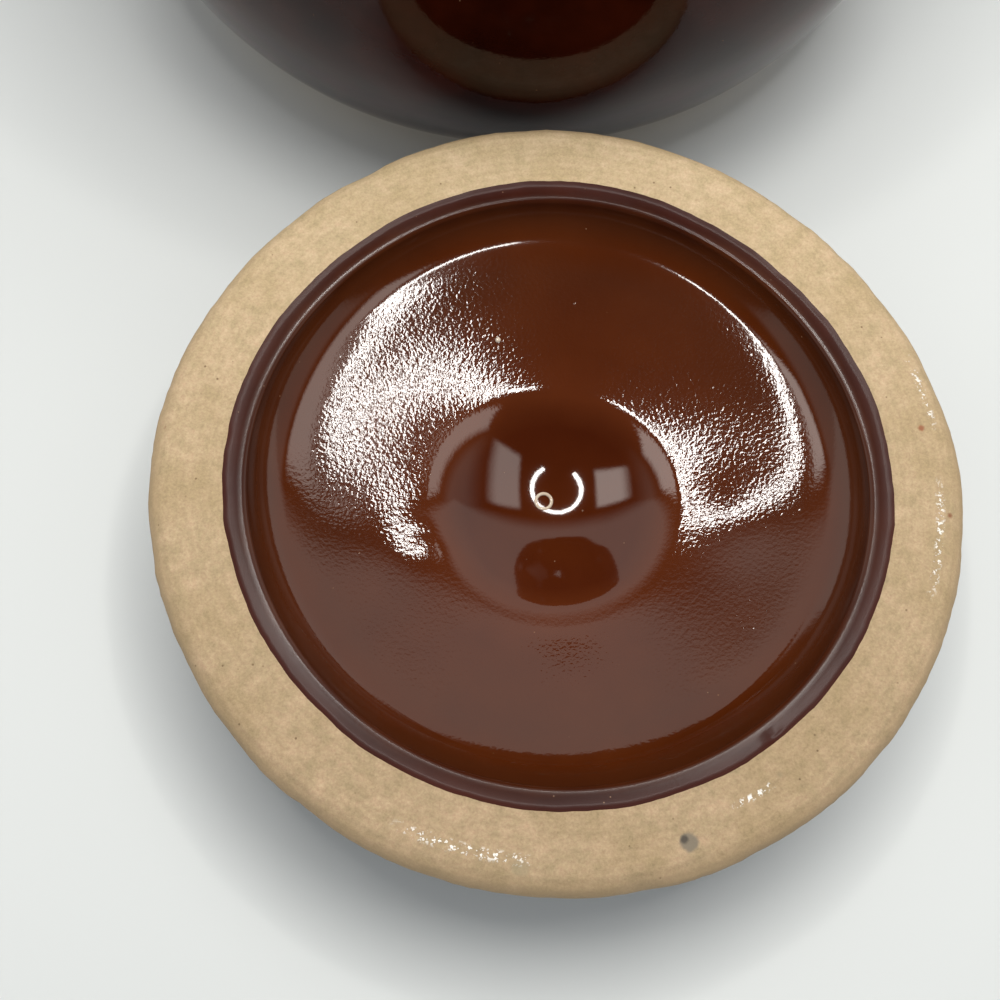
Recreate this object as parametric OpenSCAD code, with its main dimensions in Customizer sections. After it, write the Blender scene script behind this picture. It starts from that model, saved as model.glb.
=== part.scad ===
// Stoneware bean pot: a bellied jar with two ear handles, and a loose lid with a knob.
// The lid is taken off and lies upside down on its knob, in front of the pot.
// The pot stands on z = 0 on the Z axis, and the lid lies on the -Y side.
// Every round piece is a revolved wall section, drawn as [radius, height] points.

/* [Pot] */
// Height of the pot, from the table to the top of its rim
pot_h = 135; // [120:1:170]
// Diameter of the belly at its widest
belly_d = 163; // [156:1:190]
// Height of the widest place of the belly
belly_z = 48; // [42:1:60]
// Diameter of the foot
foot_d = 124; // [100:1:136]
// Height of the straight bare foot
foot_h = 5; // [3:0.5:8]
// Width of the ring that the pot stands on
foot_ring_w = 13; // [8:1:20]
// Depth of the hollow turned out of the base, inside that ring
foot_hollow = 2; // [1:0.5:3]
// Thickness of the wall
wall_t = 6; // [4.5:0.5:8]
// Thickness of the floor, measured from the table
floor_t = 8; // [6:0.5:11]

/* [Mouth] */
// Thickness of the upright rim round the lid
rim_t = 5; // [4:0.5:7]
// Height of the upright rim above the ledge that carries the lid
rim_rise = 5; // [3:0.5:8]
// Height of the thickened band outside the mouth
rim_band_h = 10; // [7:1:14]
// How far the neck is drawn in under that band
neck_in = 3.5; // [1.5:0.5:6]
// Thickness of the ledge at its inner lip
ledge_t = 4; // [3:0.5:6]
// Gap between the lid's edge and the rim, all round
lid_play = 1; // [0.5:0.25:2]
// How far the ledge reaches in past the lid's bare ring
ledge_lap = 1; // [0.5:0.25:3]

/* [Lid] */
// Diameter of the lid
lid_d = 130; // [118:1:136]
// Height of the lid, from its bare ring to the crown of its knob
lid_h = 36; // [34:1:42]
// Width of the bare ring
ring_w = 12; // [9:0.5:15]
// Width of the flat part of the bare ring
ring_flat = 8; // [6:0.5:9]
// Height of the bare rounded edge, up to the glaze line
edge_h = 3.6; // [2.5:0.1:5]
// Thickness of the lid at its flange
flange_t = 7.5; // [6.5:0.5:9]
// Width of the low shelf inside the bare ring
shelf_w = 3.2; // [2:0.2:5]
// Drop of that shelf below the bare ring
shelf_drop = 0.8; // [0.4:0.1:1.5]
// Lean of the recess's wall at its top, 90 is upright
wall_lean = 80; // [70:1:85]
// Radius of the rounding where that wall turns into the recess's cone
cove_round = 8; // [5:0.5:10]
// Slope of the shallow cone that the recess is, down to the dimple
cone_slope = 15; // [10:0.5:18]
// Radius of the rounding over the dimple's edge
lip_round = 16; // [8:1:20]
// Diameter of the dimple under the knob
dimple_d = 33.8; // [28:0.2:36]
// Radius of the dimple's bowl
dimple_round = 31; // [26:1:40]
// Width of the flange outside the dome
flange_w = 11; // [9:0.5:13]
// Radius of the dome's outside
dome_round = 99; // [90:1:115]

/* [Knob] */
// Diameter of the knob
knob_d = 47; // [42:1:54]
// Height of the knob's seat above the dome, or above the dimple's inside
knob_seat_t = 1.7; // [1.2:0.1:3]
// Diameter of the neck under the knob
knob_neck_d = 38; // [34:1:40]
// Diameter of the flat crown
crown_d = 34; // [24:1:38]

/* [Handles] */
// Height of the middle of each ear handle
ear_z = 93; // [86:1:98]
// Height of the loop, between the middles of its two roots
ear_h = 34; // [28:1:40]
// How far the middle of the loop stands out from the pot's wall
ear_reach = 20; // [17:1:26]
// Width of the strap at the middle of the loop
ear_w = 15; // [11:1:20]
// Thickness of the strap at the middle of the loop
ear_t = 7; // [5:0.5:9]
// Width of the strap at its upper root
ear_root_w = 22; // [16:1:26]
// Thickness of the strap at its upper root
ear_root_t = 10; // [8:0.5:12]

/* [Glaze] */
// Thickness of the glaze
glaze_t = 0.5; // [0.3:0.1:0.8]
// Height of the glaze line above the foot
glaze_line = 4; // [2:0.5:8]

/* [Layout] */
// Gap between the belly and the lid that lies in front of it
lid_gap = 2; // [2:0.5:40]

/* [Hidden] */
$fn = 96;

STONEWARE = [0.80, 0.70, 0.54];
BROWN_GLAZE = [0.24, 0.11, 0.05];
LINER_GLAZE = [0.30, 0.14, 0.07];

foot_r = foot_d / 2;
belly_r = belly_d / 2 - glaze_t;           // of the clay, under the glaze
lid_r = lid_d / 2;
ring_in_r = lid_r - ring_w;                // where the bare ring meets the glaze
gallery_r = lid_r + lid_play;              // inside of the upright rim
rim_r = gallery_r + rim_t;                 // outside of the rim
neck_r = rim_r - neck_in;
mouth_r = ring_in_r - ledge_lap;           // the opening that the ledge leaves
ledge_z = pot_h - rim_rise;
band_z = pot_h - rim_band_h;               // lower end of the band outside the mouth
neck_z = band_z - 2 * neck_in;             // where the neck is narrowest
rim_round = rim_t * 0.45;                  // rounding of the rim's outer corner
corner = 1;                                // rounding of small clay corners
lip_z = ledge_z - ledge_t;                 // underside of the ledge's lip
throat_z = lip_z - 1.3 * (neck_r - wall_t - mouth_r);   // where the ledge begins to lean in
foot_swell = 0.6;                          // lower: the wall leaves the foot more suddenly
corner_power = 3;                          // squareness of the inside corner at the floor
glaze_z0 = foot_h + glaze_line;
glaze_z1 = pot_h - rim_round;

// Numbers from a to b in n even steps
function steps(a, b, n) = [for (i = [0:n]) a + (b - a) * i / n];
// The list without its last entry, and without its first one
function but_last(v) = [for (i = [0:len(v) - 2]) v[i]];
function but_first(v) = [for (i = [1:len(v) - 1]) v[i]];
function reversed(v) = [for (i = [len(v) - 1:-1:0]) v[i]];
// A smooth rise from 0 to 1 as u goes from 0 to 1, level at both ends
function ease(u) = (1 - cos(180 * min(1, max(0, u)))) / 2;
function mix(a, b, u) = a + (b - a) * u;
// Points along a quarter of an ellipse about c, from angle a0 to a1
function arc(c, rx, rz, a0, a1, n) = [for (a = steps(a0, a1, n)) c + [rx * cos(a), rz * sin(a)]];

// ---- The pot's wall ----

// Outer radius of the clay at height z, from the foot to the rim's band
function wall_r(z) =
    z < belly_z ? mix(foot_r, belly_r, pow(sin(90 * (z - foot_h) / (belly_z - foot_h)), foot_swell)) :
    z < neck_z ? mix(belly_r, neck_r, ease((z - belly_z) / (neck_z - belly_z))) :
    mix(neck_r, rim_r, ease((z - neck_z) / (band_z - neck_z)));

// Inner radius of the clay above the belly, which closes in to the ledge's lip
function inside_r(z) = mix(wall_r(z) - wall_t, mouth_r, ease((z - throat_z) / (lip_z - throat_z)));

bare_zs = steps(foot_h, glaze_z0, 3);
coat_zs = concat(but_last([for (u = steps(0, 1, 12)) mix(glaze_z0, belly_z, pow(u, 1.5))]),
                 but_last(steps(belly_z, neck_z, 14)), but_last(steps(neck_z, band_z, 4)),
                 [band_z, glaze_z1]);
throat_zs = concat(but_last(steps(belly_z, throat_z, 12)), steps(throat_z, lip_z, 8));

// Outside of the clay from the glaze line to the rim, moved out by g
function outside_line(g) = [for (z = coat_zs) [wall_r(z) + g, z]];

// Inside of the pot from the middle of the floor to the ledge's lip, moved in by g
function inside_line(g) = concat(
    [for (t = but_last(steps(90, 0, 16)))
        [(belly_r - wall_t - g) * pow(cos(t), 2 / corner_power),
         belly_z - (belly_z - floor_t - g) * pow(sin(t), 2 / corner_power)]],
    [for (z = throat_zs) [inside_r(z) - g, z]]);

module pot_body() {
    stand_r = foot_r - foot_ring_w;        // inner edge of the ring that the pot stands on
    base = [[0, foot_hollow], [stand_r - foot_hollow, foot_hollow], [stand_r, 0],
            [foot_r - corner, 0], [foot_r, corner]];
    rim = concat(arc([rim_r - rim_round, glaze_z1], rim_round, rim_round, 0, 90, 5),
                 arc([gallery_r + corner, pot_h - corner], corner, corner, 90, 180, 3),
                 [[gallery_r, ledge_z]],
                 arc([mouth_r + corner, ledge_z - corner], corner, corner, 90, 180, 3));
    color(STONEWARE) rotate_extrude()
        polygon(concat(base, [for (z = bare_zs) [wall_r(z), z]],
                       [for (p = outside_line(0)) if (p.y > glaze_z0 && p.y < glaze_z1) p],
                       rim, reversed(inside_line(0))));
}

module pot_glaze_outside() {
    color(BROWN_GLAZE) rotate_extrude()
        polygon(concat(outside_line(0), reversed(outside_line(glaze_t))));
}

module pot_glaze_inside() {
    color(LINER_GLAZE) rotate_extrude()
        polygon(concat(inside_line(0), reversed(inside_line(glaze_t))));
}

// ---- The ear handles ----
// Each is a pulled strap: an oval section swept round half a loop, widest at its roots.

ear_rings = 28;
ear_sides = 16;
ear_wall_r = wall_r(ear_z) + glaze_t;
ear_bury = wall_t * 0.8;                   // how far the sweep starts inside the wall, before the cut
ear_out = ear_reach + ear_bury;
ear_low_flare = 0.7;                       // flare of the lower root, as a share of the upper one's

// Middle of the strap at u, from 0 at its lower root to 1 at its upper one
function ear_mid(u) = [ear_wall_r - ear_bury + ear_out * sin(180 * u), ear_z - ear_h / 2 * cos(180 * u)];
// Flare of the strap, from 0 at its middle to 1 at its upper root
function ear_flare(u) = (u > 0.5 ? 1 : ear_low_flare) * pow(abs(2 * u - 1), 3);
// Direction in which the strap is thin, square to its run
function ear_normal(u) =
    let (d = [ear_out * cos(180 * u), ear_h / 2 * sin(180 * u)]) [d.y, -d.x] / norm(d);

function ear_ring(u) =
    let (m = ear_mid(u), n = ear_normal(u) * mix(ear_t, ear_root_t, ear_flare(u)) / 2,
         half_w = mix(ear_w, ear_root_w, ear_flare(u)) / 2)
    [for (j = [0:ear_sides - 1])
        let (a = 360 * j / ear_sides)
        [m.x + n.x * cos(a), half_w * sin(a), m.y + n.y * cos(a)]];

module ear() {
    s = ear_sides;
    points = [for (i = [0:ear_rings]) each ear_ring(i / ear_rings)];
    sides = [for (i = [0:ear_rings - 1], j = [0:s - 1])
        let (a = i * s + j, b = i * s + (j + 1) % s) each [[a, a + s, b], [b, a + s, b + s]]];
    ends = [[for (j = [0:s - 1]) j], [for (j = [s - 1:-1:0]) ear_rings * s + j]];
    color(BROWN_GLAZE) difference() {
        polyhedron(points, concat(sides, ends), convexity = 4);
        rotate_extrude()
            polygon(concat([[0, glaze_z0]], outside_line(glaze_t), [[0, glaze_z1]]));
    }
}

module handle_right() { ear(); }
module handle_left() { rotate([0, 0, 180]) ear(); }

// ---- The lid ----
// Drawn the way up that it sits on the pot, with its bare ring on z = 0.

shelf_r = ring_in_r - shelf_w;             // inner edge of the shelf, where the recess begins
dimple_r = dimple_d / 2;
dimple_slope = asin(dimple_r / dimple_round);

// The recess is drawn by its slope, s. Its rounding, lip and bowl are arcs about these middles
cove_mid = [shelf_r - cove_round * sin(wall_lean), shelf_drop - cove_round * cos(wall_lean)];
cone_edge = cove_mid + cove_round * [sin(cone_slope), cos(cone_slope)];
lip_mid_r = dimple_r + lip_round * sin(dimple_slope);
lip_edge_r = lip_mid_r - lip_round * sin(cone_slope);
lip_edge_z = cone_edge.y + (cone_edge.x - lip_edge_r) * tan(cone_slope);
lip_mid = [lip_mid_r, lip_edge_z + lip_round * cos(cone_slope)];
bowl_mid = [0, lip_mid.y - (lip_round + dimple_round) * cos(dimple_slope)];
dimple_z = bowl_mid.y + dimple_round;

dome_mid = [0, flange_t - sqrt(pow(dome_round, 2) - pow(lid_r - flange_w, 2))];
dome_fillet = 4;                           // rounding between the flange and the dome
flange_round = flange_t - edge_h;          // rounding of the lid's upper edge
knob_neck_r = knob_neck_d / 2;
knob_neck_round = 2;                       // rounding between the dome and the knob's neck
neck_mid = [knob_neck_r + knob_neck_round,
            dome_mid.y + sqrt(pow(dome_round + knob_neck_round, 2)
                              - pow(knob_neck_r + knob_neck_round, 2))];
neck_angle = atan2(neck_mid.y - dome_mid.y, neck_mid.x);
fillet_mid = [sqrt(pow(dome_round + dome_fillet, 2) - pow(flange_t + dome_fillet - dome_mid.y, 2)),
              flange_t + dome_fillet];
fillet_angle = atan2(fillet_mid.y - dome_mid.y, fillet_mid.x);
knob_seat_z = max(dimple_z, neck_mid.y) + knob_seat_t;

// Underside of the lid from the bare ring to the middle of the dimple, moved out by g
function underside_line(g) = concat(
    [[ring_in_r, 0], [ring_in_r - shelf_w / 3, shelf_drop - g]],
    g > 0 ? [[shelf_r, shelf_drop - g]] : [],
    [for (s = steps(wall_lean, cone_slope, 9)) cove_mid + (cove_round - g) * [sin(s), cos(s)]],
    [for (s = steps(cone_slope, dimple_slope, 4)) lip_mid - (lip_round + g) * [sin(s), cos(s)]],
    but_first([for (s = steps(dimple_slope, 0, 6)) bowl_mid + (dimple_round - g) * [sin(s), cos(s)]]));

// Top of the lid from the glaze line at its edge to the knob's neck, moved out by g
function top_line(g) = concat(
    arc([lid_r - glaze_t - flange_round, edge_h], flange_round + g, flange_round + g, 0, 90, 6),
    but_last(arc(fillet_mid, dome_fillet - g, dome_fillet - g, 270, 180 + fillet_angle, 4)),
    arc(dome_mid, dome_round + g, dome_round + g, fillet_angle, neck_angle, 10),
    but_first(arc(neck_mid, knob_neck_round - g, knob_neck_round - g, 180 + neck_angle, 180, 3)),
    [[knob_neck_r + g, knob_seat_z]]);

module lid_disc() {
    edge = arc([ring_in_r + ring_flat, edge_h], ring_w - ring_flat, edge_h, 270, 360, 6);
    color(STONEWARE) lid_down() rotate_extrude()
        polygon(concat(reversed(underside_line(0)), edge, top_line(0), [[0, knob_seat_z]]));
}

module lid_glaze_underside() {
    color(LINER_GLAZE) lid_down() rotate_extrude()
        polygon(concat(underside_line(0), reversed(underside_line(glaze_t))));
}

module lid_glaze_top() {
    color(BROWN_GLAZE) lid_down() rotate_extrude()
        polygon(concat(top_line(0), reversed(top_line(glaze_t))));
}

module lid_knob() {
    knob_r = knob_d / 2;
    crown_r = crown_d / 2;
    neck_r_glazed = knob_neck_r + glaze_t;
    wide_z = mix(knob_seat_z, lid_h, 0.55);        // height of the knob's widest place
    color(BROWN_GLAZE) lid_down() rotate_extrude()
        polygon(concat([[0, knob_seat_z]],
            [for (u = steps(0, 1, 6)) [mix(neck_r_glazed, knob_r, ease(u)), mix(knob_seat_z, wide_z, u)]],
            but_first(arc([crown_r, wide_z], knob_r - crown_r, lid_h - wide_z, 0, 90, 6)), [[0, lid_h]]));
}

// Where the lid lies: turned over, with its knob on the table
lid_away = belly_d / 2 + lid_gap + lid_r;
module lid_down() { translate([0, -lid_away, lid_h]) rotate([180, 0, 0]) children(); }

pot_body();
pot_glaze_outside();
pot_glaze_inside();
handle_left();
handle_right();
lid_disc();
lid_knob();
lid_glaze_top();
lid_glaze_underside();
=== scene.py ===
# %% [markdown]
# # A stoneware bean pot with its lid off
#
# The pot is a bellied jar of buff stoneware under a very dark brown glaze, with two ear
# handles. Its loose lid lies upside down on its knob in front of it, so that the bare ring
# and the glazed recess under the lid face up. The measured solids are loaded first. They
# fix every size and place, and nothing below moves them. Lengths here are written in
# millimetres and turned into Blender's metres by MM, because pottery is measured that way.

# %% Load the measured solids
import math

import bpy
from mathutils import Matrix, Vector, noise


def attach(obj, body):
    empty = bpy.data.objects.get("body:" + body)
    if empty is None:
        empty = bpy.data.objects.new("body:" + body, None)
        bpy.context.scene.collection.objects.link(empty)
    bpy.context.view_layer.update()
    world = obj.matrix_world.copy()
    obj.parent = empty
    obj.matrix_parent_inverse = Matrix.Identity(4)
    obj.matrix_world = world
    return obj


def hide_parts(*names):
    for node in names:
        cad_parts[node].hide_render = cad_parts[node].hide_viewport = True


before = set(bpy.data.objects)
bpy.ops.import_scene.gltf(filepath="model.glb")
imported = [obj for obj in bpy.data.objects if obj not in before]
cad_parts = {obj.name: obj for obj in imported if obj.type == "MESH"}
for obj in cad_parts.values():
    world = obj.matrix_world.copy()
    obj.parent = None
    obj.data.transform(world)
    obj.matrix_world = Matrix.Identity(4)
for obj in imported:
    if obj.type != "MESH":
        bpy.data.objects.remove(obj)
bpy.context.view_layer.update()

MM = 0.001

# %% [markdown]
# ## Curves that a potter's wheel makes
#
# Everything on a wheel is round, so each wall is known by its section alone: a line of
# [radius, height] points. The line could be traced by eye, but here the same rules as in
# the measured solids give it, drawn finer, so that the dressed piece and the solid agree.
# `ease` is a rise that starts and ends level, and `arc` is a part of an ellipse.

# %% Helpers for section lines
def mix(a, b, u):
    return a + (b - a) * u


def ease(u):
    return (1 - math.cos(math.pi * min(1, max(0, u)))) / 2


def smooth(u):
    u = min(1, max(0, u))
    return u * u * (3 - 2 * u)


def steps(a, b, n):
    return [a + (b - a) * i / n for i in range(n + 1)]


def arc(middle, rx, rz, start, end, n):
    """Points of an ellipse about the middle, from one angle to another in degrees."""
    turns = [math.radians(a) for a in steps(start, end, n)]
    return [(middle[0] + rx * math.cos(t), middle[1] + rz * math.sin(t)) for t in turns]


print("a rise in four steps:", [round(ease(u), 2) for u in steps(0, 1, 4)])

# %% [markdown]
# ## Drawing a line and spinning it
#
# In Blender a section can be drawn by hand from one vertex, which is extruded from point to
# point, and Spin turns the line into a round wall, as the wheel does. A stack of cylinders
# would need a loop for every change of slope, so the spun line is the shorter way. The
# first vertex comes from a plane whose corners are merged. Points on the axis become one
# pole when doubles are merged, and then the faces are turned to look outwards.

# %% Start, draw and spin
MERGE_WITHIN = 0.004


def deselect():
    bpy.ops.object.select_all(action="DESELECT")


def only(piece):
    """Select this piece alone and make it the active one."""
    deselect()
    piece.select_set(True)
    bpy.context.view_layer.objects.active = piece


def draw_line(name, points, middle=(0.0, 0.0)):
    """A line of [radius, height] points in millimetres, beside the axis through middle."""
    deselect()
    start = (middle[0] + points[0][0] * MM, middle[1], points[0][1] * MM)
    bpy.ops.mesh.primitive_plane_add(size=MM, location=start)
    piece = bpy.context.object
    piece.name = piece.data.name = name
    bpy.ops.object.mode_set(mode="EDIT")
    bpy.ops.mesh.select_all(action="SELECT")
    bpy.ops.mesh.merge(type="CENTER")
    for here, there in zip(points, points[1:]):
        move = ((there[0] - here[0]) * MM, 0, (there[1] - here[1]) * MM)
        bpy.ops.mesh.extrude_vertices_move(TRANSFORM_OT_translate={"value": move})
    return piece


def apply_place(piece):
    """Put the piece's place into its mesh, so that its object sits at the origin."""
    only(piece)
    bpy.ops.object.transform_apply(location=True, rotation=True, scale=True)


def merge_and_face_outwards():
    """Merge doubles and turn all faces outwards, in edit mode, and leave edit mode."""
    bpy.ops.mesh.select_all(action="SELECT")
    bpy.ops.mesh.remove_doubles(threshold=MERGE_WITHIN * MM)
    bpy.ops.mesh.normals_make_consistent(inside=False)
    bpy.ops.object.mode_set(mode="OBJECT")


def spin(piece, segments, middle=(0.0, 0.0), crease=40):
    """Turn the drawn line once round, merge its seam and poles, and smooth it."""
    bpy.ops.mesh.select_all(action="SELECT")
    bpy.ops.mesh.spin(steps=segments, angle=math.tau, center=(*middle, 0), axis=(0, 0, 1))
    merge_and_face_outwards()
    apply_place(piece)
    bpy.ops.object.shade_smooth_by_angle(angle=math.radians(crease))
    print(piece.name, len(piece.data.polygons), "faces,", report_size(piece), "mm")
    return piece


def report_size(piece):
    return [round(side / MM, 1) for side in piece.dimensions]


# %% [markdown]
# ## The pot's wall
#
# The wall leaves the foot suddenly, swells to the belly, draws in to the neck and opens
# again to a thick band at the mouth. Inside, the floor turns up in a square-shouldered
# curve, and near the top the wall leans in to the ledge that carries the lid.

# %% Sizes of the pot
POT_H, BELLY_D, BELLY_Z, FOOT_D, FOOT_H = 135, 163, 48, 124, 5
FOOT_RING_W, FOOT_HOLLOW, WALL_T, FLOOR_T = 13, 2, 6, 8
RIM_T, RIM_RISE, RIM_BAND_H, NECK_IN = 5, 5, 10, 3.5
LEDGE_T, LID_PLAY, LEDGE_LAP = 4, 1, 1
LID_D, LID_H, RING_W = 130, 36, 12
GLAZE_T, GLAZE_LINE = 0.5, 4

lid_r = LID_D / 2
ring_in_r = lid_r - RING_W
foot_r = FOOT_D / 2
belly_r = BELLY_D / 2 - GLAZE_T
gallery_r = lid_r + LID_PLAY
rim_r = gallery_r + RIM_T
neck_r = rim_r - NECK_IN
mouth_r = ring_in_r - LEDGE_LAP
ledge_z = POT_H - RIM_RISE
band_z = POT_H - RIM_BAND_H
neck_z = band_z - 2 * NECK_IN
rim_round = RIM_T * 0.45
lip_z = ledge_z - LEDGE_T
throat_z = lip_z - 1.3 * (neck_r - WALL_T - mouth_r)
glaze_z0 = FOOT_H + GLAZE_LINE
glaze_z1 = POT_H - rim_round
CORNER = 1  # radius of the small roundings
print("pot: belly", 2 * belly_r, "rim", 2 * rim_r, "mouth", 2 * mouth_r)


# %% The wall's lines
def wall_r(z):
    """Outer radius of the clay at a height."""
    if z < BELLY_Z:
        u = (z - FOOT_H) / (BELLY_Z - FOOT_H)
        return mix(foot_r, belly_r, math.sin(math.pi / 2 * max(0, u)) ** 0.6)
    if z < neck_z:
        return mix(belly_r, neck_r, ease((z - BELLY_Z) / (neck_z - BELLY_Z)))
    return mix(neck_r, rim_r, ease((z - neck_z) / (band_z - neck_z)))


def inside_r(z):
    return mix(wall_r(z) - WALL_T, mouth_r, ease((z - throat_z) / (lip_z - throat_z)))


coat_zs = ([mix(glaze_z0, BELLY_Z, u ** 1.5) for u in steps(0, 1, 30)[:-1]]
           + steps(BELLY_Z, neck_z, 42)[:-1] + steps(neck_z, band_z, 10)[:-1]
           + steps(band_z, glaze_z1, 6))


def outside_line(g):
    """The outside from the glaze line to the rim, moved out by g."""
    return [(wall_r(z) + g, z) for z in coat_zs]


def inside_line(g):
    """The inside from the middle of the floor to the ledge's lip, moved in by g."""
    floor = []
    for t in steps(math.pi / 2, 0, 40)[:-1]:
        across, down = max(0, math.cos(t)) ** (2 / 3), max(0, math.sin(t)) ** (2 / 3)
        floor.append(((belly_r - WALL_T - g) * across, BELLY_Z - (BELLY_Z - FLOOR_T - g) * down))
    throat = [(inside_r(z) - g, z) for z in
              steps(BELLY_Z, throat_z, 30)[:-1] + steps(throat_z, lip_z, 16)]
    return floor + throat


print("wall at the foot and belly:", round(wall_r(FOOT_H), 1), round(wall_r(BELLY_Z), 1))

# %% [markdown]
# ## The jar itself
#
# The clay shows bare on the foot and on the rim and ledge, where glaze would fuse the pot to
# the kiln shelf or to its lid. It is one closed section: up the outside, over the rim, down
# into the ledge and along the inside to the middle of the floor, and back under the base.

# %% Spin the clay of the pot
SEGMENTS = 192
stand_r = foot_r - FOOT_RING_W
base = [(0, FOOT_HOLLOW), (stand_r - FOOT_HOLLOW, FOOT_HOLLOW), (stand_r - 0.6, 0.3),
        (stand_r, 0), (foot_r - CORNER, 0)]
base += arc((foot_r - CORNER, CORNER), CORNER, CORNER, -72, 0, 4)
bare_foot = [(wall_r(z), z) for z in steps(FOOT_H, glaze_z0, 6)]
rim = (arc((rim_r - rim_round, glaze_z1), rim_round, rim_round, 6, 90, 8)
       + arc((gallery_r + CORNER, POT_H - CORNER), CORNER, CORNER, 90, 180, 4)
       + [(gallery_r, ledge_z + 0.8), (gallery_r - 0.3, ledge_z + 0.2), (gallery_r - 1, ledge_z)]
       + arc((mouth_r + CORNER, ledge_z - CORNER), CORNER, CORNER, 90, 180, 4))
pot_section = base + bare_foot + outside_line(0)[1:-1] + rim + inside_line(0)[::-1]
pot_clay = spin(draw_line("pot_clay", pot_section), SEGMENTS)
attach(pot_clay, "pot")
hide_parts("pot_body")

# %% [markdown]
# ## The coats of glaze on the pot
#
# Glaze is glass half a millimetre thick, melted on. It ends in a soft bead above the foot,
# and it thins to nothing at the rim. Each coat is a closed skin of its own. Its inner side
# sinks a hair into the clay, so that the two never fight for the same place.

# %% Spin the two coats
SINK = 0.12
COAT_CREASE = 60


def coat(name, outer, inner, segments, middle=(0.0, 0.0)):
    """A closed skin between two lines that run the same way."""
    piece = draw_line(name, outer + inner[::-1] + outer[:1], middle)
    return spin(piece, segments, middle, crease=COAT_CREASE)


def bead(line, g, thin):
    """Draw a coat in at its first and last points, so that it ends in a rounded edge."""
    n = len(line)
    out = []
    for i, (r, z) in enumerate(line):
        edge = min(i, n - 1 - i)
        full = min(1.0, (edge + 0.6) / thin) ** 0.5
        out.append((r - g * (1 - full), z))
    return out


outer_glaze = coat("pot_outer_glaze", bead(outside_line(GLAZE_T), GLAZE_T + SINK / 2, 2),
                   outside_line(-SINK), SEGMENTS)
liner_glaze = coat("pot_liner_glaze", inside_line(GLAZE_T), inside_line(-SINK), SEGMENTS)
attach(outer_glaze, "pot")
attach(liner_glaze, "pot")
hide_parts("pot_glaze_outside")
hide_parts("pot_glaze_inside")

# %% [markdown]
# ## The ear handles
#
# A potter pulls a strap of wet clay, bends it into an ear and smears both ends onto the
# shoulder. The strap is widest where it is smeared. Here an oval is extruded ring by ring
# round the loop, and each ring is moved, turned and widened on its way, which is how a
# handle is modelled by hand. The left ear is a copy of the right one, turned half round
# the pot's axis.

# %% Extrude one ear
EAR_Z, EAR_H, EAR_REACH, EAR_W, EAR_T = 93, 34, 20, 15, 7
EAR_ROOT_W, EAR_ROOT_T, EAR_LOW_FLARE = 22, 10, 0.7
EAR_RINGS, EAR_SIDES = 36, 24
ear_wall_r = wall_r(EAR_Z) + GLAZE_T
ear_bury = WALL_T * 0.8
ear_out = EAR_REACH + ear_bury


def ear_mid(u):
    """Middle of the strap, from its lower end at 0 to its upper end at 1, in metres."""
    turn = math.pi * u
    return Vector((ear_wall_r - ear_bury + ear_out * math.sin(turn), 0,
                   EAR_Z - EAR_H / 2 * math.cos(turn))) * MM


def ear_slope(u):
    """Angle of the strap's run above level, in radians."""
    turn = math.pi * u
    return math.atan2(EAR_H / 2 * math.sin(turn), ear_out * math.cos(turn))


def ear_oval(u):
    """Width and thickness of the strap."""
    flare = (1 if u > 0.5 else EAR_LOW_FLARE) * abs(2 * u - 1) ** 3
    return mix(EAR_W, EAR_ROOT_W, flare), mix(EAR_T, EAR_ROOT_T, flare)


deselect()
bpy.ops.mesh.primitive_circle_add(vertices=EAR_SIDES, radius=MM / 2, fill_type="NGON",
                                  location=ear_mid(0), rotation=(0, math.pi / 2, 0))
ear_right = bpy.context.object
ear_right.name = ear_right.data.name = "ear_right"
bpy.ops.object.mode_set(mode="EDIT")
bpy.ops.mesh.select_all(action="SELECT")
width, thick = ear_oval(0)
bpy.ops.transform.resize(value=(1, width, thick), center_override=ear_mid(0))
for i in range(EAR_RINGS):
    u, v = i / EAR_RINGS, (i + 1) / EAR_RINGS
    bpy.ops.mesh.extrude_region_move(TRANSFORM_OT_translate={"value": ear_mid(v) - ear_mid(u)})
    (w0, t0), (w1, t1) = ear_oval(u), ear_oval(v)
    bpy.ops.transform.resize(value=(t1 / t0, w1 / w0, t1 / t0), center_override=ear_mid(v))
    bpy.ops.transform.rotate(value=ear_slope(v) - ear_slope(u), orient_axis="Y",
                             center_override=ear_mid(v))
bpy.ops.object.mode_set(mode="OBJECT")
apply_place(ear_right)
print("ear ends at", [round(c / MM, 1) for c in ear_mid(1)], "size", report_size(ear_right))

# %% [markdown]
# A subdivision rounds the strap as wet fingers do. Its ends must sink into the wall but not
# show inside the pot, so what reaches too deep is pressed back to a surface that follows
# the wall.

# %% Round the ear and copy it
EAR_SINK = 2.5


def add_modifier(piece, kind, name, **settings):
    """Add a modifier, set it and apply it at once."""
    only(piece)
    modifier = piece.modifiers.new(name, kind)
    for key, value in settings.items():
        setattr(modifier, key, value)
    bpy.ops.object.modifier_apply(modifier=name)


add_modifier(ear_right, "SUBSURF", "Round", levels=1, render_levels=1)
for vertex in ear_right.data.vertices:
    r = math.hypot(vertex.co.x, vertex.co.y)
    floor_r = (wall_r(vertex.co.z / MM) - EAR_SINK) * MM
    if r < floor_r:
        vertex.co.x *= floor_r / r
        vertex.co.y *= floor_r / r
only(ear_right)
bpy.ops.object.mode_set(mode="EDIT")
merge_and_face_outwards()
bpy.ops.object.shade_smooth_by_angle(angle=math.radians(COAT_CREASE))
ear_left = ear_right.copy()
ear_left.data = ear_right.data.copy()
ear_left.name = ear_left.data.name = "ear_left"
bpy.context.collection.objects.link(ear_left)
for vertex in ear_left.data.vertices:
    vertex.co.x, vertex.co.y = -vertex.co.x, -vertex.co.y
for ear, node in ((ear_right, "handle_right"), (ear_left, "handle_left")):
    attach(ear, "pot")
    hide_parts(node)

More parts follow.
